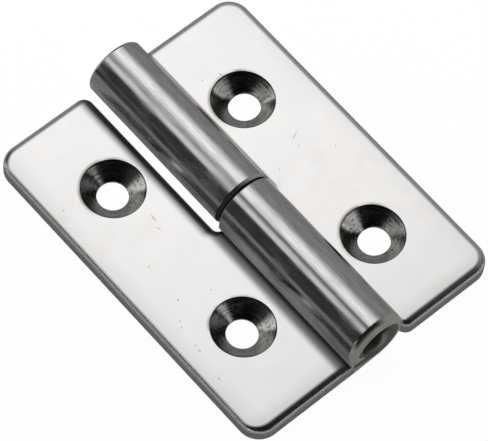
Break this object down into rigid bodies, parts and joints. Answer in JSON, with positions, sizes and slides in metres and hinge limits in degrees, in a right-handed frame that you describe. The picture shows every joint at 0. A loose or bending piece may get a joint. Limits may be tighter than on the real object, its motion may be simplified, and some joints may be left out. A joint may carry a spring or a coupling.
{
  "type": "lift-off hinge",
  "caption": "Polished steel lift-off hinge: flat leaves with countersunk screw holes and rolled knuckles; the lifting leaf turns on a fixed pin and slides off along it.",
  "frame": {"origin": "on the mounting plane, below the middle of the pin", "axes": "+Y along the pin towards its free end, which is the way the lift leaf comes off; +Z out of the front faces; +X towards the lift leaf"},
  "size_m": [0.04, 0.0513, 0.0084],
  "materials": {
    "polished_steel": "polished stainless sheet with fine polishing marks",
    "pin_steel": "ground",
    "washer_black": "black, matte"
  },
  "bodies": {
    "fixed": {"fixed_leaf": "polished_steel", "pin": "pin_steel"},
    "spacer": {"washer": "washer_black"},
    "lift": {"lift_leaf": "polished_steel"}
  },
  "joints": [
    {"name": "swing", "type": "hinge", "parent": "fixed", "child": "spacer", "pos_m": [0, 0, 0.0042], "axis": [0, -1, 0], "range_deg": [-95, 190]},
    {"name": "lift_off", "type": "slide", "parent": "spacer", "child": "lift", "axis": [0, 1, 0], "range_m": [0, 0.026]}
  ]
}
